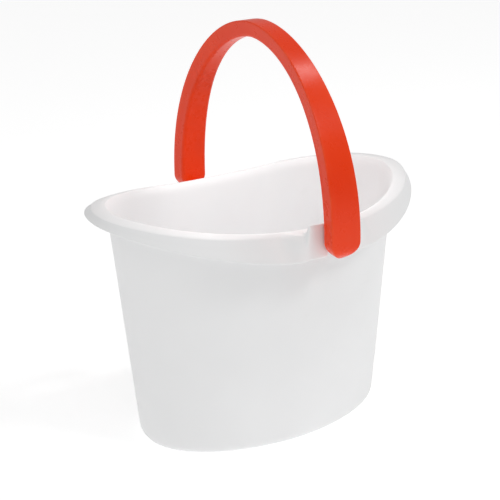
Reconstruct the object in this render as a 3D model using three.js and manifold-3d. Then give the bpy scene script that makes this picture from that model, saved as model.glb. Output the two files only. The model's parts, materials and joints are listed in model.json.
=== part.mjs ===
// Half-round plastic bucket with one broad bail handle.
// The bucket is flat at the back and bowed at the front, and its rim dips a little in the middle.
// The bail spans it from front to back and turns on two studs. The near one sits in a slotted ear
// that stands up from the rim, the far one in a slotted rib under the rim's back apron.
// Millimetres, +Z up. The front is -Y. The origin is on the floor plane under the middle of the box.

import * as THREE from 'three';
import { mergeVertices } from 'three/addons/utils/BufferGeometryUtils.js';
import Module from 'manifold-3d';

const wasm = await Module();
wasm.setup();

// bucket shell: the plan outline at the rim and at the floor
const HEIGHT = 250;            // floor to the rim's inner edge, before it dips or rises
const WALL = 2.5;              // side wall
const FLOOR = 3;               // bottom
const BASE_ROUND = 9;          // radius of the lower outer edge
const MOUTH = { width: 325, depth: 205, corner: 90, nx: 2.02, ny: 1.57, back: 102.5 };
const BASE = { width: 278, depth: 163, corner: 78, nx: 1.9, ny: 2.06, back: 92 };

// rim: a narrow lip, then an apron that slopes out and down
const RIM_DIP = 4.5;           // how far the rim dips at the middle
const RIM_RISE = 13;           // how much higher it is RIM_REACH out from the middle
const RIM_REACH = 170;
const RIM_POWER = 2.3;
const LIP_OUT = 7.8;           // lip, inner edge to outer edge
const LIP_END = 8.5;           // how much wider it is at the two ends
const LIP_FALL = 3.6;          // how far the lip slopes down
const APRON_OUT = 24.3;        // foot of the apron, out from the wall, at the front
const APRON_OUT_BACK = 29;     // the same at the back
const APRON_END = 5.5;         // how much less it reaches at the two ends
const APRON_THICK = 3;         // measured level
const APRON_FRONT = 26;        // depth of the apron at the middle of the front
const APRON_BACK = 14;         // depth at the middle of the back
const APRON_POWER = 3.2;       // how late the apron deepens from back to front
const APRON_EASE = 3.5;        // how much shallower the apron is APRON_REACH out from the middle
const APRON_REACH = 190;

// front ear and back rib that carry the bail
const EAR_HALF = 20;           // half width where the apron stands fully upright
const EAR_EASE = 28;           // run from there to the plain apron on each side
const EAR_TOP_HALF = 27;       // half width of the raised top
const EAR_TOP_EASE = 3.5;      // run-out of the raised top on each side
const EAR_OUT = 22.2;          // outer face of the ear, out from the wall
const EAR_RISE = 10;           // top of the ear above the rim
const EAR_WALL = 3.2;          // plates that the studs go through
const EAR_BELOW = 24;          // bottom of both plates, below the rim
const RIB_OUT = 15.5;          // outer face of the rib, out from the back wall
const RIB_HALF = 18;
const SLOT_R = 5;              // round end of the slot
const SLOT_HALF = 8;           // half width of the slot's open end
const SLOT_FLARE = 4;          // drop from the pivot to the full width

// bail
const PIVOT_Z = 230;           // height of the pivot line
const BAIL_TOP = 429;          // top of the bail's outer face
const BAIL_WIDTH = 33;         // outer face at the feet
const BAIL_WAIST = 20;         // outer face at the top
const BAIL_NARROW = 1.3;       // how fast it narrows on the way up
const BAIL_BEVEL = 2.5;        // how much narrower the inner face is
const BAIL_THICK = 18;         // at the feet
const BAIL_THIN = 16.2;        // at the top
const BAIL_EDGE = 4;           // rounding of the inner edges
const ARCH_SIDE = 2.1;         // above 2, the legs stay upright longer than an ellipse's
const ARCH_TOP = 1.88;         // below 2, the top is rounder than an ellipse's
const FOOT_Z = 238;            // where the feet start to round off
const FOOT_DROP = 15;          // from there to the tip of the foot
const FOOT_TURN = 0.5;         // how much thinner the foot is at its tip
const FOOT_GAP = 1.9;          // near foot to ear
const FOOT_BACK_OUT = 38.4;    // inner face of the far foot, out from the back wall
const STUD_R = 4.5;
const HEAD_R = 6.6;
const HEAD_LENGTH = 1.8;

const FRONT_STEPS = 62;
const CORNER_STEPS = 13;
const BACK_STEPS = 16;
const BAIL_STEPS = 56;

const lerp = (a, b, t) => a + (b - a) * t;
const clamp01 = (t) => Math.min(Math.max(t, 0), 1);
const smooth = (t) => clamp01(t) ** 2 * (3 - 2 * clamp01(t));

// ---------------------------------------------------------------- meshes

// closed skin over rings of equal length, from the first ring's middle to the last ring's middle
function loft(rings) {
  const count = rings[0].length;
  const positions = [];
  const index = [];
  rings.forEach((ring) => ring.forEach((p) => positions.push(p.x, p.y, p.z)));
  for (let r = 0; r + 1 < rings.length; r += 1) {
    for (let i = 0; i < count; i += 1) {
      const a = r * count + i;
      const b = r * count + ((i + 1) % count);
      index.push(a, b + count, b, a, a + count, b + count);
    }
  }
  const cap = (ring, start, flip) => {
    const middle = new THREE.Vector3();
    ring.forEach((p) => middle.addScaledVector(p, 1 / count));
    const hub = positions.length / 3;
    positions.push(middle.x, middle.y, middle.z);
    for (let i = 0; i < count; i += 1) {
      const a = start + i;
      const b = start + ((i + 1) % count);
      index.push(...(flip ? [hub, a, b] : [hub, b, a]));
    }
  };
  cap(rings[0], 0, true);
  cap(rings[rings.length - 1], (rings.length - 1) * count, false);
  // faces point out whichever way the rings run
  const [a, b, c] = [new THREE.Vector3(), new THREE.Vector3(), new THREE.Vector3()];
  let volume = 0;
  for (let i = 0; i < index.length; i += 3) {
    a.fromArray(positions, index[i] * 3);
    b.fromArray(positions, index[i + 1] * 3);
    c.fromArray(positions, index[i + 2] * 3);
    volume += a.dot(b.cross(c));
  }
  if (volume < 0) index.reverse();
  const geometry = new THREE.BufferGeometry();
  geometry.setAttribute('position', new THREE.Float32BufferAttribute(positions, 3));
  geometry.setIndex(index);
  return geometry;
}

function solid(geometry) {
  const bare = geometry.clone();
  bare.deleteAttribute('normal');
  bare.deleteAttribute('uv');
  const merged = mergeVertices(bare, 1e-4);
  return new wasm.Manifold(new wasm.Mesh({
    numProp: 3,
    vertProperties: new Float32Array(merged.attributes.position.array),
    triVerts: new Uint32Array(merged.index.array),
  }));
}

function geometryOf(body) {
  const mesh = body.getMesh();
  const geometry = new THREE.BufferGeometry();
  geometry.setAttribute('position', new THREE.BufferAttribute(new Float32Array(mesh.vertProperties), 3));
  geometry.setIndex(new THREE.BufferAttribute(new Uint32Array(mesh.triVerts), 1));
  geometry.computeVertexNormals();
  return geometry;
}

function piece(name, geometry, material) {
  const mesh = new THREE.Mesh(geometry, material);
  mesh.name = name;
  return mesh;
}

// ---------------------------------------------------------------- plan outline

// places along one zone of the outline, closer together where weight is larger
function spread(zone, steps, weight) {
  const fine = 400;
  const sums = [0];
  for (let i = 0; i < fine; i += 1) {
    sums.push(sums[i] + weight((i + 0.5) / fine));
  }
  const places = [];
  let k = 0;
  for (let s = 0; s < steps; s += 1) {
    const want = (s / steps) * sums[fine];
    while (sums[k + 1] < want) k += 1;
    const part = (want - sums[k]) / (sums[k + 1] - sums[k]);
    places.push({ zone, t: (k + part) / fine });
  }
  return places;
}

// more places where the ear's raised top runs out
const nearEar = (x) => Math.exp(-(((Math.abs(x) - EAR_TOP_HALF - EAR_TOP_EASE / 2) / 9) ** 2));
const STATIONS = [
  ...spread('front', FRONT_STEPS, (t) => 1 + 3 * nearEar((MOUTH.width / 2) * Math.cos(Math.PI * t))),
  ...spread('left', CORNER_STEPS, () => 1),
  ...spread('back', BACK_STEPS, () => 1),
  ...spread('right', CORNER_STEPS, () => 1),
];

// bowed front, two round corners and a straight back
function outlinePoint(shape, zone, t) {
  const half = shape.width / 2;
  const r = shape.corner;
  const reach = shape.depth - r;
  const arc = (cx, a) => new THREE.Vector2(cx + r * Math.cos(a), shape.back - r + r * Math.sin(a));
  if (zone === 'left') return arc(r - half, Math.PI - (t * Math.PI) / 2);
  if (zone === 'right') return arc(half - r, Math.PI / 2 - (t * Math.PI) / 2);
  if (zone === 'back') return new THREE.Vector2(lerp(r - half, half - r, t), shape.back);
  const c = Math.cos(Math.PI * t);
  const s = Math.sin(Math.PI * t);
  const x = half * Math.sign(c) * Math.abs(c) ** (2 / shape.nx);
  const y = -reach * Math.abs(s) ** (2 / shape.ny) - r;
  return new THREE.Vector2(x, y + shape.back);
}

// outline at a height with the outward normal at each point
function outline(z) {
  const shape = {};
  Object.keys(MOUTH).forEach((key) => {
    shape[key] = lerp(BASE[key], MOUTH[key], z / HEIGHT);
  });
  const points = STATIONS.map((s) => outlinePoint(shape, s.zone, s.t));
  const count = points.length;
  return points.map((p, i) => {
    const before = points[(i + count - 1) % count];
    const after = points[(i + 1) % count];
    const along = after.clone().sub(before).normalize();
    return { p, out: new THREE.Vector2(-along.y, along.x) };
  });
}

// ---------------------------------------------------------------- bucket

const FRONT_WALL = MOUTH.back - MOUTH.depth;
const EAR_FACE = FRONT_WALL - EAR_OUT;
const RIB_FACE = MOUTH.back + RIB_OUT;

const rimLift = (x) => RIM_RISE * (Math.abs(x) / RIM_REACH) ** RIM_POWER - RIM_DIP;

// 1 within half of the middle of the front, 0 from ease further out
function earShare(point, half, ease) {
  if (point.out.y > -0.8) return 0;
  return smooth((half + ease - Math.abs(point.p.x)) / ease);
}

// section from under the lip, round the apron and back over the lip: [out, height above the rim]
function rimSection(lip, reach, drop) {
  const down = (t, inset) => [lerp(lip, reach, t) - inset, lerp(-LIP_FALL, -drop, t)];
  return [
    [0, -8], [2.5, -6.6], [lip - 3.4, -LIP_FALL - 3.6], down(0.16, APRON_THICK + 0.4),
    down(0.55, APRON_THICK), down(1, APRON_THICK), [reach - 0.8, -drop - 0.5], [reach + 0.1, -drop + 0.7],
    down(0.62, 0), down(0.28, 0), down(0.1, 0.1), [lip - 0.5, -LIP_FALL + 0.6],
    [lip * 0.68, -LIP_FALL * 0.42], [lip * 0.45, -LIP_FALL * 0.14], [lip * 0.3, 0],
    [1.4, 0], [0.5, -0.2], [0, -1],
  ];
}

// the same through the ear: a web that rises to a thin upright plate
function earSection() {
  const back = EAR_OUT - EAR_WALL;
  return [
    [0, -8], [4, -6.6], [back - 9, -4.8], [back - 1.2, 0.6],
    [back, -1], [back, -EAR_BELOW], [EAR_OUT - 0.7, -EAR_BELOW - 0.3], [EAR_OUT, -EAR_BELOW + 0.8],
    [EAR_OUT, -EAR_BELOW * 0.4], [EAR_OUT, EAR_RISE - 2], [EAR_OUT - 0.7, EAR_RISE - 0.4],
    [back + 1, EAR_RISE], [back + 0.1, EAR_RISE - 1], [back - 0.2, 5], [back - 2.4, 3.4],
    [back - 9, -0.3], [0.5, -0.2], [0, -1],
  ];
}

function bucketRings() {
  const rings = [];
  const ringAt = (z, out) => {
    rings.push(outline(z).map((q) => {
      const p = q.p.clone().addScaledVector(q.out, out);
      return new THREE.Vector3(p.x, p.y, z);
    }));
  };
  // underside and lower outer edge
  [0, 0.38, 0.75, 1].forEach((k) => {
    const a = (k * Math.PI) / 2;
    ringAt(BASE_ROUND * (1 - Math.cos(a)), BASE_ROUND * (Math.sin(a) - 1));
  });
  // outer wall
  [0.3, 0.6, 0.88].forEach((k) => ringAt(HEIGHT * k, 0));
  // rim
  const top = outline(HEIGHT);
  const ear = earSection();
  const sections = top.map((q) => {
    const span = MOUTH.depth + APRON_OUT + APRON_OUT_BACK;
    const share = clamp01((MOUTH.back + APRON_OUT_BACK - q.p.y - q.out.y * APRON_OUT) / span);
    const end = 1 - q.out.y ** 4;
    const reach = lerp(APRON_OUT_BACK, APRON_OUT, share) - APRON_END * end;
    const ends = ((Math.abs(q.p.x) + APRON_OUT * Math.abs(q.out.x)) / APRON_REACH) ** 2;
    const drop = lerp(APRON_BACK, APRON_FRONT, share ** APRON_POWER) - APRON_EASE * ends;
    return rimSection(LIP_OUT + LIP_END * end, reach, drop);
  });
  ear.forEach(([earOut, earUp], k) => {
    rings.push(top.map((q, i) => {
      const e = earShare(q, EAR_HALF, EAR_EASE);
      const raised = earShare(q, EAR_TOP_HALF, EAR_TOP_EASE);
      const out = lerp(sections[i][k][0], earOut, e);
      const p = q.p.clone().addScaledVector(q.out, out);
      // the ear's plate is flat, so the bowed front is drawn onto one plane there
      const grip = e * smooth((out - 3) / 6);
      const x = lerp(p.x, q.p.x, grip);
      return new THREE.Vector3(
        x,
        lerp(p.y, FRONT_WALL - earOut, grip),
        HEIGHT + rimLift(x) + lerp(sections[i][k][1], earUp, raised),
      );
    }));
  });
  // inner wall, inner corner and floor
  rings.push(outline(HEIGHT - 9).map((q) => {
    const p = q.p.clone().addScaledVector(q.out, -WALL);
    return new THREE.Vector3(p.x, p.y, HEIGHT - 9 + rimLift(p.x));
  }));
  [0.6, 0.3].forEach((k) => ringAt(HEIGHT * k, -WALL));
  [0, 0.25, 0.6, 1].forEach((k) => {
    const a = (k * Math.PI) / 2;
    ringAt(FLOOR + BASE_ROUND * (1 - Math.sin(a)), -WALL - BASE_ROUND * (1 - Math.cos(a)));
  });
  return rings;
}

// slot for a stud from one y to another: round at the pivot, flared and open below
function slotCutter(from, to) {
  const shape = new THREE.Shape();
  const low = HEIGHT - PIVOT_Z - EAR_BELOW - RIM_DIP - 4;
  shape.moveTo(-SLOT_HALF, low);
  shape.lineTo(SLOT_HALF, low);
  shape.lineTo(SLOT_HALF, -SLOT_FLARE);
  for (let i = 0; i <= 16; i += 1) {
    const a = (Math.PI * i) / 16;
    shape.lineTo(SLOT_R * Math.cos(a), SLOT_R * Math.sin(a));
  }
  shape.lineTo(-SLOT_HALF, -SLOT_FLARE);
  const geometry = new THREE.ExtrudeGeometry(shape, { depth: to - from, bevelEnabled: false });
  geometry.rotateX(Math.PI / 2);
  geometry.translate(0, to, PIVOT_Z);
  return geometry;
}

// upright plate under the back apron, its slanted top buried in the apron
function backRib() {
  const shape = new THREE.Shape();
  const top = HEIGHT - RIM_DIP;
  shape.moveTo(RIB_FACE - EAR_WALL, top - EAR_BELOW);
  shape.lineTo(RIB_FACE, top - EAR_BELOW);
  shape.lineTo(RIB_FACE, top - 8.2);
  shape.lineTo(RIB_FACE - EAR_WALL, top - 6.6);
  const geometry = new THREE.ExtrudeGeometry(shape, { depth: 2 * RIB_HALF, bevelEnabled: false });
  // the shape's own x becomes y, its y becomes z and its depth becomes x
  geometry.applyMatrix4(new THREE.Matrix4().set(0, 0, 1, -RIB_HALF, 1, 0, 0, 0, 0, 1, 0, 0, 0, 0, 0, 1));
  return geometry;
}

function bucket() {
  const slots = [
    slotCutter(EAR_FACE - 1.5, EAR_FACE + EAR_WALL + 1.5),
    slotCutter(RIB_FACE - EAR_WALL - 1, MOUTH.back + APRON_OUT_BACK + 4),
  ];
  let body = solid(loft(bucketRings())).add(solid(backRib()));
  slots.forEach((slot) => {
    body = body.subtract(solid(slot));
  });
  return geometryOf(body);
}

// ---------------------------------------------------------------- bail

const FOOT_Y = [EAR_FACE - FOOT_GAP, MOUTH.back + FOOT_BACK_OUT];      // inner faces of the two feet
const MIDDLE_Y = (FOOT_Y[0] + FOOT_Y[1]) / 2;
const HALF_SPAN = (FOOT_Y[1] - FOOT_Y[0]) / 2 + BAIL_THICK;

// section of the strip: [across, in from the outer face]
function bailSection(width, thick) {
  const half = width / 2;
  const inner = Math.max(half - BAIL_BEVEL / 2, half * 0.8);
  const r = Math.min(BAIL_EDGE, inner * 0.9, thick * 0.4);
  const side = [[half - 0.9, 0], [half, 0.9], [half - 0.2, thick * 0.4]];
  for (let i = 0; i <= 4; i += 1) {
    const a = (Math.PI / 2) * (i / 4);
    side.push([inner - r + r * Math.cos(a), thick - r + r * Math.sin(a)]);
  }
  return [...side, ...side.map((s) => [-s[0], s[1]]).reverse()];
}

function bailRings() {
  const rise = BAIL_TOP - FOOT_Z;
  const rings = [];
  // p is the middle of the outer face and along its direction there, both in the arch's own plane
  const ring = (p, along, width, thick) => {
    rings.push(bailSection(width, thick).map(([across, deep]) => new THREE.Vector3(
      across,
      MIDDLE_Y + p.x + along.y * deep,
      FOOT_Z + p.y - along.x * deep,
    )));
  };
  const arch = (a) => new THREE.Vector2(
    -HALF_SPAN * Math.sign(Math.cos(a)) * Math.abs(Math.cos(a)) ** (2 / ARCH_TOP),
    rise * Math.abs(Math.sin(a)) ** (2 / ARCH_SIDE),
  );
  // rounded feet
  const foot = (sign, shares) => shares.forEach((k) => {
    const width = BAIL_WIDTH * Math.max((1 - k ** 1.85) ** 0.6, 0.08);
    const thick = BAIL_THICK * (1 - FOOT_TURN * k ** 3.2);
    ring(new THREE.Vector2(-sign * HALF_SPAN, -FOOT_DROP * k), new THREE.Vector2(0, sign), width, thick);
  });
  foot(1, [1, 0.98, 0.93, 0.84, 0.7, 0.5, 0.25]);
  for (let i = 0; i <= BAIL_STEPS; i += 1) {
    const a = (Math.PI * i) / BAIL_STEPS;
    const step = 0.01;
    const along = arch(a + step).sub(arch(a - step)).normalize();
    if (i === 0) along.set(0, 1);
    if (i === BAIL_STEPS) along.set(0, -1);
    const side = Math.abs(Math.cos(a));
    const width = lerp(BAIL_WAIST, BAIL_WIDTH, side ** (2 * BAIL_NARROW));
    ring(arch(a), along, width, lerp(BAIL_THIN, BAIL_THICK, side));
  }
  foot(-1, [0.25, 0.5, 0.7, 0.84, 0.93, 0.98, 1]);
  return rings;
}

// stud from a foot through its plate, with a head behind the plate
function stud(side) {
  const face = side < 0 ? FOOT_Y[0] : FOOT_Y[1];
  const plate = side < 0 ? EAR_FACE + EAR_WALL : RIB_FACE - EAR_WALL;
  const neck = Math.abs(face - plate) + 0.4;
  const profile = [
    [0, -8], [STUD_R, -8], [STUD_R, neck], [HEAD_R, neck],
    [HEAD_R, neck + HEAD_LENGTH * 0.5], [HEAD_R - 1, neck + HEAD_LENGTH], [0, neck + HEAD_LENGTH],
  ].map(([x, y]) => new THREE.Vector2(x, y));
  const geometry = new THREE.LatheGeometry(profile, 32);
  if (side > 0) geometry.rotateX(Math.PI);
  geometry.translate(0, face, PIVOT_Z);
  return geometry;
}

function bail() {
  let body = solid(loft(bailRings()));
  [-1, 1].forEach((side) => {
    body = body.add(solid(stud(side)));
  });
  return geometryOf(body);
}

// ---------------------------------------------------------------- scene

const white = new THREE.MeshStandardMaterial({ color: 0xe9eaeb, roughness: 0.5, metalness: 0 });
const orange = new THREE.MeshStandardMaterial({ color: 0xe4471a, roughness: 0.42, metalness: 0 });

const group = new THREE.Group();
const model = new THREE.Group();
model.add(piece('bucket_shell', bucket(), white));
model.add(piece('bail_handle', bail(), orange));
// centre the box on the origin
model.position.set(0, -MIDDLE_Y, 0);
group.add(model);

export default group;
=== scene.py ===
import json
import math

import bmesh
import bpy
import numpy as np
from mathutils import Matrix, Vector


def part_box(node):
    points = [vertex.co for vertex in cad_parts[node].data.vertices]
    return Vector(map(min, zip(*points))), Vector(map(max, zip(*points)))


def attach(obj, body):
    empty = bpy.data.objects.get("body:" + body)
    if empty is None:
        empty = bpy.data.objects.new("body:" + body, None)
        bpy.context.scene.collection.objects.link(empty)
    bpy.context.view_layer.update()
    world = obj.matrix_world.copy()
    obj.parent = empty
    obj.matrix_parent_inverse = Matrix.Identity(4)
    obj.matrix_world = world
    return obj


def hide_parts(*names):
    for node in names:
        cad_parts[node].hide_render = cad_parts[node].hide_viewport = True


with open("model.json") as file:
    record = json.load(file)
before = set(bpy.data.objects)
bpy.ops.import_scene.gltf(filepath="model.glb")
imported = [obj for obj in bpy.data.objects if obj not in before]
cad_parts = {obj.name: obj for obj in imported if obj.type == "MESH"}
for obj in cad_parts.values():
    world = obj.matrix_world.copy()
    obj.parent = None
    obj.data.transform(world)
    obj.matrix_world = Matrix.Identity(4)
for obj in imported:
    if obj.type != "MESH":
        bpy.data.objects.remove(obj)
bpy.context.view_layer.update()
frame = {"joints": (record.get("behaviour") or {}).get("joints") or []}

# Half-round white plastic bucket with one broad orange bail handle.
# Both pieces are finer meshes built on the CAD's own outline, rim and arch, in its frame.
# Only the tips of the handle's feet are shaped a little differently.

BAIL_LOW, BAIL_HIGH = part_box("bail_handle")
PIVOT = Vector(frame["joints"][0]["pos_m"])

# ---------------------------------------------------------------- sizes, in millimetres
MM = 0.001
HEIGHT = 250.0                 # floor to the rim's inner edge, before it dips or rises
WALL = 2.5
FLOOR = 3.0
BASE_ROUND = 9.0               # radius of the lower outer edge
MOUTH = {"width": 325, "depth": 205, "corner": 90, "nx": 2.02, "ny": 1.57, "back": 102.5}
BASE = {"width": 278, "depth": 163, "corner": 78, "nx": 1.9, "ny": 2.06, "back": 92}

RIM_DIP = 4.5                  # how far the rim dips at the middle
RIM_RISE = 13.0                # how much higher it is RIM_REACH out from the middle
RIM_REACH = 170.0
RIM_POWER = 2.3
LIP_OUT = 7.8                  # lip, inner edge to outer edge
LIP_END = 8.5                  # how much wider it is at the two ends
LIP_FALL = 3.6                 # how far the lip slopes down
APRON_OUT = 24.3               # foot of the apron, out from the wall, at the front
APRON_OUT_BACK = 29.0          # the same at the back
APRON_END = 5.5                # how much less it reaches at the two ends
APRON_THICK = 3.0
APRON_FRONT = 26.0             # depth of the apron at the middle of the front
APRON_BACK = 14.0              # depth at the middle of the back
APRON_POWER = 3.2              # how late the apron deepens from back to front
APRON_EASE = 3.5               # how much shallower the apron is APRON_REACH out from the middle
APRON_REACH = 190.0

EAR_HALF = 20.0                # half width where the apron stands fully upright
EAR_EASE = 28.0                # run from there to the plain apron on each side
EAR_TOP_HALF = 27.0            # half width of the raised top
EAR_TOP_EASE = 3.5             # run-out of the raised top on each side
EAR_OUT = 22.2                 # outer face of the ear, out from the wall
EAR_RISE = 10.0                # top of the ear above the rim
EAR_WALL = 3.2                 # plates that the studs go through
EAR_BELOW = 24.0               # bottom of both plates, below the rim
RIB_OUT = 15.5                 # outer face of the plate under the back apron
RIB_HALF = 18.0
SLOT_R = 5.0                   # round end of the slot
SLOT_HALF = 8.0                # half width of the slot's open end
SLOT_FLARE = 4.0               # drop from the pivot to the full width

BAIL_WIDTH = 33.0              # outer face at the feet
BAIL_WAIST = 20.0              # outer face at the top
BAIL_NARROW = 1.3              # how fast it narrows on the way up
BAIL_BEVEL = 2.5               # how much narrower the inner face is
BAIL_THICK = 18.0              # at the feet
BAIL_THIN = 16.2               # at the top
BAIL_EDGE = 4.0                # rounding of the inner edges
BAIL_CRISP = 0.9               # rounding of the outer edges
ARCH_SIDE = 2.1                # above 2, the legs stay upright longer than an ellipse's
ARCH_TOP = 1.88                # below 2, the top is rounder than an ellipse's
FOOT_Z = 238.0                 # where the feet start to round off
FOOT_DROP = 16.5               # from there to the tip of the foot
FOOT_TURN = 0.5                # share of the thickness that the outer face turns in at the tip
FOOT_GAP = 1.9                 # near foot to ear
FOOT_BACK_OUT = 38.4           # inner face of the far foot, out from the back wall
STUD_R = 4.5
STUD_ROOT = 8.0                # how deep the stud starts inside the foot
HEAD_R = 6.6
HEAD_LENGTH = 1.8

PIVOT_Z = PIVOT.z / MM
BAIL_TOP = BAIL_HIGH.z / MM
HALF_SPAN = (BAIL_HIGH.y - BAIL_LOW.y) / 2 / MM
MIDDLE_Y = MOUTH["back"] + FOOT_BACK_OUT + BAIL_THICK - HALF_SPAN      # the outline's y less the frame's y

FRONT_STEPS = 220
CORNER_STEPS = 40
BACK_STEPS = 90
WALL_STEPS = 18
ARCH_STEPS = 170


def lerp(a, b, t):
    return a + (b - a) * t


def clamp(t):
    return min(max(t, 0.0), 1.0)


def smooth(t):
    return clamp(t) ** 2 * (3 - 2 * clamp(t))


# ---------------------------------------------------------------- meshes
def soften(points, turns):
    """An open chain with its corners cut, its two ends kept."""
    chain = np.array(points, float)
    for _ in range(turns):
        near = chain[:-1] * 0.75 + chain[1:] * 0.25
        far = chain[:-1] * 0.25 + chain[1:] * 0.75
        middle = np.stack([near, far], 1).reshape(-1, chain.shape[1])
        chain = np.vstack([chain[:1], middle[1:-1], chain[-1:]])
    return chain


def shrink(ring, share):
    middle = sum(ring, Vector()) / len(ring)
    return [middle.lerp(p, share) for p in ring]


def loft(bm, rings):
    """A closed skin of quads over rings of equal length, in millimetres."""
    rows = [[bm.verts.new(p * MM) for p in ring] for ring in rings]
    count = len(rings[0])
    faces = []
    for low, high in zip(rows, rows[1:]):
        for i in range(count):
            j = (i + 1) % count
            faces.append(bm.faces.new((low[i], low[j], high[j], high[i])))
    faces.append(bm.faces.new(rows[0]))
    faces.append(bm.faces.new(rows[-1]))
    bmesh.ops.recalc_face_normals(bm, faces=faces)
    return faces


def make_object(name, bm):
    mesh = bpy.data.meshes.new(name)
    bm.to_mesh(mesh)
    bm.free()
    obj = bpy.data.objects.new(name, mesh)
    bpy.context.scene.collection.objects.link(obj)
    return obj


def combine(obj, tools):
    """Adds or takes away other solids for good, and removes them."""
    for operation, tool in tools:
        modifier = obj.modifiers.new("combine", "BOOLEAN")
        modifier.operation = operation
        modifier.solver = "EXACT"
        modifier.object = tool
    bpy.context.view_layer.update()
    evaluated = obj.evaluated_get(bpy.context.evaluated_depsgraph_get())
    mesh = bpy.data.meshes.new_from_object(evaluated)
    obj.modifiers.clear()
    obj.data = mesh
    for _, tool in tools:
        bpy.data.objects.remove(tool)


def finish_mesh(obj, sharp_deg, scale):
    """Smooth shading with sharp edges kept, and a wear value where the surface turns outwards."""
    mesh = obj.data
    mesh.shade_smooth()
    mesh.set_sharp_from_angle(angle=math.radians(sharp_deg))
    bm = bmesh.new()
    bm.from_mesh(mesh)
    wear = []
    for v in bm.verts:
        bend = 0.0
        for e in v.link_edges:
            step = e.other_vert(v).co - v.co
            bend = max(bend, -v.normal.dot(step) / max(step.length_squared, 1e-10))
        wear.append(clamp((bend * MM - 0.1) / scale))
    near = []
    for v in bm.verts:
        around = [wear[e.other_vert(v).index] * 0.6 for e in v.link_edges]
        near.append(max([wear[v.index]] + around))
    bm.free()
    attribute = mesh.attributes.new("wear", "FLOAT", "POINT")
    attribute.data.foreach_set("value", np.array(near, np.float32))


# ---------------------------------------------------------------- plan outline
def spread(zone, steps, weight):
    """Places along one zone of the outline, closer together where weight is larger."""
    fine = 600
    sums = np.concatenate([[0.0], np.cumsum([weight((i + 0.5) / fine) for i in range(fine)])])
    wants = np.arange(steps) / steps * sums[-1]
    return [(zone, t) for t in np.interp(wants, sums, np.arange(fine + 1) / fine)]


def near_ear(x):
    return math.exp(-(((abs(x) - EAR_TOP_HALF - EAR_TOP_EASE / 2) / 9) ** 2))


STATIONS = (
    spread("front", FRONT_STEPS, lambda t: 1 + 3 * near_ear(MOUTH["width"] / 2 * math.cos(math.pi * t)))
    + spread("left", CORNER_STEPS, lambda t: 1.0)
    + spread("back", BACK_STEPS, lambda t: 1.0)
    + spread("right", CORNER_STEPS, lambda t: 1.0)
)


def outline_point(shape, zone, t):
    """Bowed front, two round corners and a straight back."""
    half = shape["width"] / 2
    r = shape["corner"]
    back = shape["back"]
    if zone in ("left", "right"):
        a = math.pi - t * math.pi / 2 if zone == "left" else (1 - t) * math.pi / 2
        side = -1 if zone == "left" else 1
        return Vector((side * (half - r) + r * math.cos(a), back - r + r * math.sin(a)))
    if zone == "back":
        return Vector((lerp(r - half, half - r, t), back))
    c = math.cos(math.pi * t)
    s = math.sin(math.pi * t)
    x = math.copysign(half * abs(c) ** (2 / shape["nx"]), c)
    return Vector((x, back - r - (shape["depth"] - r) * abs(s) ** (2 / shape["ny"])))


def outline(z):
    """The outline at a height: each point with its outward normal."""
    shape = {key: lerp(BASE[key], MOUTH[key], z / HEIGHT) for key in MOUTH}
    points = [outline_point(shape, zone, t) for zone, t in STATIONS]
    found = []
    for i, p in enumerate(points):
        along = (points[(i + 1) % len(points)] - points[i - 1]).normalized()
        found.append((p, Vector((-along.y, along.x))))
    return found


# ---------------------------------------------------------------- bucket
def rim_lift(x):
    return RIM_RISE * (abs(x) / RIM_REACH) ** RIM_POWER - RIM_DIP


def ear_share(p, out, half, ease):
    """1 within half of the middle of the front, 0 from ease further out."""
    if out.y > -0.8:
        return 0.0
    return smooth((half + ease - abs(p.x)) / ease)


def rim_section(lip, reach, drop):
    """From under the lip, round the apron and back over the lip: out from the wall, height above the rim."""
    def down(t, inset):
        return (lerp(lip, reach, t) - inset, lerp(-LIP_FALL, -drop, t))
    return [
        (0, -8), (2.5, -6.6), (lip - 3.4, -LIP_FALL - 3.6), down(0.16, APRON_THICK + 0.4),
        down(0.55, APRON_THICK), down(1, APRON_THICK), (reach - 0.8, -drop - 0.5), (reach + 0.1, -drop + 0.7),
        down(0.62, 0), down(0.28, 0), down(0.1, 0.1), (lip - 0.5, -LIP_FALL + 0.6),
        (lip * 0.68, -LIP_FALL * 0.42), (lip * 0.45, -LIP_FALL * 0.14), (lip * 0.3, 0),
        (1.4, 0), (0.5, -0.2), (0, -1),
    ]


def ear_section(out):
    """The same through the ear: a web that rises to a thin upright plate."""
    back = out - EAR_WALL
    return [
        (0, -8), (4, -6.6), (back - 9, -4.8), (back - 1.2, 0.6),
        (back, -1), (back, -EAR_BELOW), (out - 0.7, -EAR_BELOW - 0.3), (out, -EAR_BELOW + 0.8),
        (out, -EAR_BELOW * 0.4), (out, EAR_RISE - 2), (out - 0.7, EAR_RISE - 0.4), (back + 1, EAR_RISE),
        (back + 0.1, EAR_RISE - 1), (back - 0.2, 5), (back - 2.4, 3.4),
        (back - 9, -0.3), (0.5, -0.2), (0, -1),
    ]


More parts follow.
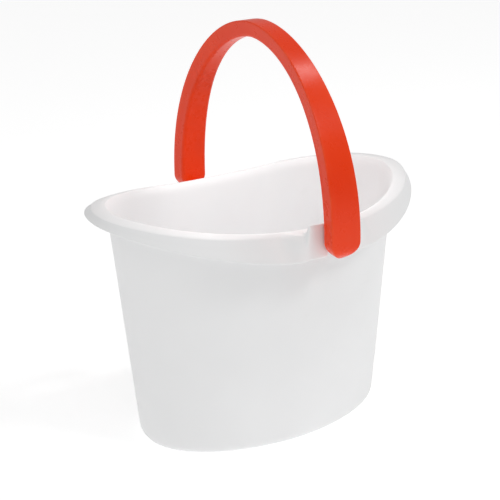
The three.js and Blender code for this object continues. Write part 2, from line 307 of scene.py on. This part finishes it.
def rim_rings():
    top = outline(HEIGHT)
    ear = soften(ear_section(EAR_OUT), 2)
    span = MOUTH["depth"] + APRON_OUT + APRON_OUT_BACK
    columns = []
    for p, out in top:
        share = clamp((MOUTH["back"] + APRON_OUT_BACK - p.y - out.y * APRON_OUT) / span)
        ends = ((abs(p.x) + APRON_OUT * abs(out.x)) / APRON_REACH) ** 2
        drop = lerp(APRON_BACK, APRON_FRONT, share ** APRON_POWER) - APRON_EASE * ends
        end = 1 - out.y ** 4
        reach = lerp(APRON_OUT_BACK, APRON_OUT, share) - APRON_END * end
        section = soften(rim_section(LIP_OUT + LIP_END * end, reach, drop), 2)
        e = ear_share(p, out, EAR_HALF, EAR_EASE)
        raised = ear_share(p, out, EAR_TOP_HALF, EAR_TOP_EASE)
        column = []
        for (rim_reach, up), (ear_reach, ear_up) in zip(section, ear):
            far = lerp(rim_reach, ear_reach, e)
            place = p + out * far
            # the ear's plate is flat, so the bowed front is drawn onto one plane there
            plane = MOUTH["back"] - MOUTH["depth"] - ear_reach
            grip = e * smooth((far - 3) / 6)
            x = lerp(place.x, p.x, grip)
            y = lerp(place.y, plane, grip)
            column.append(Vector((x, y - MIDDLE_Y, HEIGHT + rim_lift(x) + lerp(up, ear_up, raised))))
        columns.append(column)
    return [[column[k] for column in columns] for k in range(len(columns[0]))]


def bucket_rings():
    def ring_at(z, out, lifted=0.0):
        ring = []
        for p, normal in outline(z):
            q = p + normal * out
            ring.append(Vector((q.x, q.y - MIDDLE_Y, z + rim_lift(q.x) * lifted)))
        return ring

    underside = ring_at(0, -BASE_ROUND)
    rings = [shrink(underside, s) for s in (0.01, 0.4, 0.75, 0.95, 0.99)]
    for i in range(9):
        a = math.pi / 2 * i / 8
        rings.append(ring_at(BASE_ROUND * (1 - math.cos(a)), BASE_ROUND * (math.sin(a) - 1)))
    for i in range(1, WALL_STEPS + 1):
        rings.append(ring_at(lerp(BASE_ROUND, HEIGHT * 0.88, i / WALL_STEPS), 0))
    rings += rim_rings()
    for below, inset in ((3, 1.1), (6, 2.1), (9, WALL), (14, WALL)):
        rings.append(ring_at(HEIGHT - below, -inset, 1.0 if below < 10 else 0.8))
    for i in range(1, WALL_STEPS + 1):
        z = lerp(HEIGHT - 30, FLOOR + BASE_ROUND, i / WALL_STEPS)
        rings.append(ring_at(z, -WALL))
    for i in range(1, 9):
        a = math.pi / 2 * i / 8
        rings.append(ring_at(FLOOR + BASE_ROUND * (1 - math.sin(a)), -WALL - BASE_ROUND * (1 - math.cos(a))))
    rings += [shrink(rings[-1], s) for s in (0.99, 0.95, 0.75, 0.4, 0.01)]
    return rings


def prism(name, shape, low, high, place):
    """A flat shape drawn out from low to high, each point placed by place(u, v, depth)."""
    bm = bmesh.new()
    loft(bm, [[Vector(place(u, v, d)) for u, v in shape] for d in (low, high)])
    return make_object(name, bm)


def slot_cutter(low, high):
    """Slot for a stud between two depths: round at the pivot, flared and open below."""
    bottom = HEIGHT - PIVOT_Z - EAR_BELOW - RIM_DIP - 4
    shape = [(-SLOT_HALF, bottom), (SLOT_HALF, bottom), (SLOT_HALF, -SLOT_FLARE)]
    shape += [(SLOT_R * math.cos(math.pi * i / 24), SLOT_R * math.sin(math.pi * i / 24)) for i in range(25)]
    shape.append((-SLOT_HALF, -SLOT_FLARE))
    return prism("slot", shape, low, high, lambda x, z, y: (x, y - MIDDLE_Y, PIVOT_Z + z))


def back_rib():
    """Upright plate under the back apron that the far stud turns in."""
    top = HEIGHT - RIM_DIP
    shape = [
        (RIB_OUT - EAR_WALL, top - EAR_BELOW), (RIB_OUT, top - EAR_BELOW),
        (RIB_OUT, top - 8.2), (RIB_OUT - EAR_WALL, top - 6.6),
    ]
    return prism("rib", shape, -RIB_HALF, RIB_HALF, lambda y, z, x: (x, MOUTH["back"] + y - MIDDLE_Y, z))


def build_bucket():
    bm = bmesh.new()
    loft(bm, bucket_rings())
    obj = make_object("bucket_body", bm)
    front = MOUTH["back"] - MOUTH["depth"] - EAR_OUT
    back_wall = MOUTH["back"]
    combine(obj, [
        ("UNION", back_rib()),
        ("DIFFERENCE", slot_cutter(front - 1.5, front + EAR_WALL + 1.5)),
        ("DIFFERENCE", slot_cutter(back_wall + RIB_OUT - EAR_WALL - 1, back_wall + APRON_OUT_BACK + 4)),
    ])
    finish_mesh(obj, 40, 0.6)
    return obj


# ---------------------------------------------------------------- bail
def bail_section(width, thick):
    """Section of the strip: across, in from the outer face."""
    half = width / 2
    inner = max(half - BAIL_BEVEL / 2, half * 0.8)
    r = min(BAIL_EDGE, inner * 0.9, thick * 0.4)
    c = min(BAIL_CRISP, half * 0.4)
    side = [(half * s, 0) for s in (0.0, 0.3, 0.6)] + [(half - c - 0.6, 0)]
    for i in range(5):
        a = math.pi / 2 * (1 - i / 4)
        side.append((half - c + c * math.cos(a), c - c * math.sin(a)))
    side += [(half - 0.05, c + 0.8), (lerp(half, inner, 0.5), thick * 0.45), (inner, thick - r - 0.8)]
    for i in range(9):
        a = math.pi / 2 * i / 8
        side.append((inner - r + r * math.cos(a), thick - r + r * math.sin(a)))
    side.append(((inner - r) * 0.5, thick))
    return side + [(0, thick)] + [(-across, deep) for across, deep in reversed(side[1:])]


def arch(a):
    c = math.cos(a)
    y = -math.copysign(HALF_SPAN * abs(c) ** (2 / ARCH_TOP), c)
    return Vector((y, (BAIL_TOP - FOOT_Z) * abs(math.sin(a)) ** (2 / ARCH_SIDE)))


def bail_rings():
    rings = []

    def ring(p, along, width, thick):
        rings.append([
            Vector((across, p.x + along.y * deep, FOOT_Z + p.y - along.x * deep))
            for across, deep in bail_section(width, thick)
        ])

    def foot(sign, shares):
        for k in shares:
            width = BAIL_WIDTH * max((1 - k ** 1.75) ** 0.62, 0.08)
            turned = BAIL_THICK * FOOT_TURN * k ** 3.2
            p = Vector((-sign * (HALF_SPAN - turned), -FOOT_DROP * k))
            ring(p, Vector((0, sign)), width, BAIL_THICK - turned)

    shares = [math.sin(math.pi / 2 * i / 22) for i in range(22, 0, -1)]
    foot(1, shares)
    for i in range(ARCH_STEPS + 1):
        a = math.pi * i / ARCH_STEPS
        along = (arch(a + 0.01) - arch(a - 0.01)).normalized()
        if i == 0:
            along = Vector((0, 1))
        if i == ARCH_STEPS:
            along = Vector((0, -1))
        side = abs(math.cos(a))
        width = lerp(BAIL_WAIST, BAIL_WIDTH, side ** (2 * BAIL_NARROW))
        ring(arch(a), along, width, lerp(BAIL_THIN, BAIL_THICK, side))
    foot(-1, shares[::-1])
    return rings


def stud_rings(side):
    """Stud from a foot through its plate, with a head behind the plate."""
    face = side * (HALF_SPAN - BAIL_THICK)
    neck = (FOOT_GAP + EAR_WALL if side < 0 else FOOT_BACK_OUT - RIB_OUT + EAR_WALL) + 0.4
    end = neck + HEAD_LENGTH
    profile = [
        (STUD_R, -STUD_ROOT), (STUD_R, neck - 0.1), (STUD_R + 0.1, neck),
        (HEAD_R - 0.3, neck), (HEAD_R, neck + 0.3), (HEAD_R, neck + HEAD_LENGTH * 0.5),
        (HEAD_R - 0.35, end - 0.4), (HEAD_R - 1.2, end - 0.05), (HEAD_R - 2, end), (0.3, end),
    ]
    turns = [2 * math.pi * i / 48 for i in range(48)]
    rings = []
    for r, deep in profile:
        y = face - side * deep
        rings.append([Vector((r * math.cos(a), y, PIVOT_Z + r * math.sin(a))) for a in turns])
    return rings


def build_bail():
    bm = bmesh.new()
    loft(bm, bail_rings())
    for side in (-1, 1):
        loft(bm, stud_rings(side))
    obj = make_object("handle", bm)
    finish_mesh(obj, 50, 0.7)
    return obj


# ---------------------------------------------------------------- materials
def noise(nodes, links, coords, scale, detail, rough=0.5):
    node = nodes.new("ShaderNodeTexNoise")
    node.inputs["Scale"].default_value = scale
    node.inputs["Detail"].default_value = detail
    node.inputs["Roughness"].default_value = rough
    links.new(coords, node.inputs["Vector"])
    return node.outputs["Fac"]


def spanned(nodes, links, value, low, high, to_low, to_high):
    node = nodes.new("ShaderNodeMapRange")
    links.new(value, node.inputs["Value"])
    for name, number in (("From Min", low), ("From Max", high), ("To Min", to_low), ("To Max", to_high)):
        node.inputs[name].default_value = number
    return node.outputs["Result"]


def product(nodes, links, a, b):
    node = nodes.new("ShaderNodeMath")
    node.operation = "MULTIPLY"
    links.new(a, node.inputs[0])
    links.new(b, node.inputs[1])
    return node.outputs["Value"]


def mixed(nodes, links, factor, a, b):
    node = nodes.new("ShaderNodeMix")
    node.data_type = "RGBA"
    links.new(factor, node.inputs[0])
    for socket, value in ((node.inputs[6], a), (node.inputs[7], b)):
        if isinstance(value, bpy.types.NodeSocket):
            links.new(value, socket)
        else:
            socket.default_value = (*value, 1.0)
    return node.outputs[2]


def moulded_plastic(name, look):
    """Injection-moulded plastic: faint flow marks, a fine grain, scuffs, and edges worn a little paler."""
    material = bpy.data.materials.new(name)
    material.use_nodes = True
    nodes, links = material.node_tree.nodes, material.node_tree.links
    shader = nodes["Principled BSDF"]
    shader.inputs["Specular IOR Level"].default_value = look["shine"]
    coords = nodes.new("ShaderNodeTexCoord").outputs["Object"]
    broad = noise(nodes, links, coords, look["flow"], 3)
    grain = noise(nodes, links, coords, 900, 4, 0.6)
    scuff = noise(nodes, links, coords, 55, 8, 0.7)
    wear = nodes.new("ShaderNodeAttribute")
    wear.attribute_name = "wear"
    patchy = product(nodes, links, wear.outputs["Fac"], spanned(nodes, links, scuff, 0.4, 0.62, 0.25, 1.0))

    flow = spanned(nodes, links, broad, 0.32, 0.68, 0.0, 1.0)
    base = mixed(nodes, links, flow, look["dark"], look["light"])
    dust = spanned(nodes, links, scuff, 0.6, 0.78, 0.0, look["dust"])
    dusty = mixed(nodes, links, dust, base, look["dust_color"])
    edge = spanned(nodes, links, patchy, 0.0, 1.0, 0.0, look["edge"])
    links.new(mixed(nodes, links, edge, dusty, look["edge_color"]), shader.inputs["Base Color"])

    rough = spanned(nodes, links, scuff, 0.3, 0.75, look["rough"] - 0.05, look["rough"] + 0.07)
    plus = nodes.new("ShaderNodeMath")
    plus.operation = "MULTIPLY_ADD"
    links.new(patchy, plus.inputs[0])
    plus.inputs[1].default_value = 0.12
    links.new(rough, plus.inputs[2])
    links.new(plus.outputs["Value"], shader.inputs["Roughness"])

    bump = nodes.new("ShaderNodeBump")
    bump.inputs["Strength"].default_value = look["bump"]
    bump.inputs["Distance"].default_value = 0.00012
    links.new(grain, bump.inputs["Height"])
    wavy = nodes.new("ShaderNodeBump")
    wavy.inputs["Strength"].default_value = 0.25
    wavy.inputs["Distance"].default_value = 0.0012
    links.new(broad, wavy.inputs["Height"])
    links.new(wavy.outputs["Normal"], bump.inputs["Normal"])
    links.new(bump.outputs["Normal"], shader.inputs["Normal"])
    return material


WHITE = moulded_plastic("white_moulded", {
    "dark": (0.825, 0.827, 0.83), "light": (0.865, 0.867, 0.87), "flow": 6, "rough": 0.45, "bump": 0.3,
    "shine": 0.4,
    "dust": 0.12, "dust_color": (0.66, 0.65, 0.63), "edge": 0.35, "edge_color": (0.87, 0.87, 0.87),
})
ORANGE = moulded_plastic("orange_moulded", {
    "dark": (0.76, 0.034, 0.0006), "light": (0.85, 0.046, 0.0009), "flow": 9, "rough": 0.28, "bump": 0.3,
    "shine": 0.24,
    "dust": 0.10, "dust_color": (0.60, 0.12, 0.05), "edge": 0.30, "edge_color": (0.86, 0.17, 0.06),
})

bucket_body = build_bucket()
bucket_body.data.materials.clear()
bucket_body.data.materials.append(WHITE)
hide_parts("bucket_shell")
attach(bucket_body, "bucket")

handle = build_bail()
handle.data.materials.append(ORANGE)
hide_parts("bail_handle")
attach(handle, "bail")

# ---------------------------------------------------------------- floor, light and camera
def build_floor():
    bm = bmesh.new()
    bmesh.ops.create_grid(bm, x_segments=8, y_segments=8, size=6.0)
    floor = make_object("floor", bm)
    paint = bpy.data.materials.new("pale_floor")
    paint.use_nodes = True
    shader = paint.node_tree.nodes["Principled BSDF"]
    shader.inputs["Base Color"].default_value = (0.93, 0.93, 0.93, 1)
    shader.inputs["Roughness"].default_value = 0.9
    shader.inputs["Specular IOR Level"].default_value = 0.1
    shader.inputs["Emission Color"].default_value = (1, 1, 1, 1)
    shader.inputs["Emission Strength"].default_value = 0.33
    floor.data.materials.append(paint)


def soft_light(name, place, aim, size, power):
    data = bpy.data.lights.new(name, "AREA")
    data.shape = "RECTANGLE"
    data.size, data.size_y = size
    data.energy = power
    lamp = bpy.data.objects.new(name, data)
    bpy.context.scene.collection.objects.link(lamp)
    lamp.location = place
    lamp.rotation_euler = (Vector(aim) - Vector(place)).to_track_quat("-Z", "Y").to_euler()
    lamp.visible_camera = False


def soft_sun(name, towards, spread_deg, strength):
    data = bpy.data.lights.new(name, "SUN")
    data.energy = strength
    data.angle = math.radians(spread_deg)
    lamp = bpy.data.objects.new(name, data)
    bpy.context.scene.collection.objects.link(lamp)
    lamp.rotation_euler = Vector(towards).to_track_quat("Z", "Y").to_euler()


build_floor()
soft_sun("overhead", (-0.36, -0.14, 0.92), 70, 0.82)
soft_light("inside", (0, -0.02, 0.33), (0, 0.02, 0), (0.2, 0.12), 0.15)
soft_light("key", (0.75, -1.45, 1.65), (0, 0, 0.25), (0.4, 0.4), 6.5)
soft_light("gloss", (0.85, -0.25, 1.7), (0, 0, 0.35), (0.18, 0.18), 3.2)

world = bpy.data.worlds.new("studio")
world.use_nodes = True
world.node_tree.nodes["Background"].inputs["Color"].default_value = (1, 1, 1, 1)
world.node_tree.nodes["Background"].inputs["Strength"].default_value = 0.42
bpy.context.scene.world = world
bpy.context.scene.view_settings.view_transform = "Standard"
bpy.context.scene.cycles.diffuse_bounces = 8

AZIMUTH = math.radians(-31.995)
ELEVATION = math.radians(19.777)
ROLL = math.radians(-1.373)
DISTANCE = 1.2808
TARGET = Vector((-0.01727, -MIDDLE_Y * MM, 0.19387))
ahead = math.cos(ELEVATION)
back = Vector((math.sin(AZIMUTH) * ahead, -math.cos(AZIMUTH) * ahead, math.sin(ELEVATION)))
level = Vector((math.cos(AZIMUTH), math.sin(AZIMUTH), 0))
upright = back.cross(level)
right = level * math.cos(ROLL) + upright * math.sin(ROLL)
up = upright * math.cos(ROLL) - level * math.sin(ROLL)
camera_data = bpy.data.cameras.new("camera")
camera_data.sensor_width = 36
camera_data.lens = 88.8
camera = bpy.data.objects.new("camera", camera_data)
bpy.context.scene.collection.objects.link(camera)
turned = Matrix((right, up, back)).transposed().to_4x4()
camera.matrix_world = Matrix.Translation(TARGET + back * DISTANCE) @ turned
bpy.context.scene.camera = camera
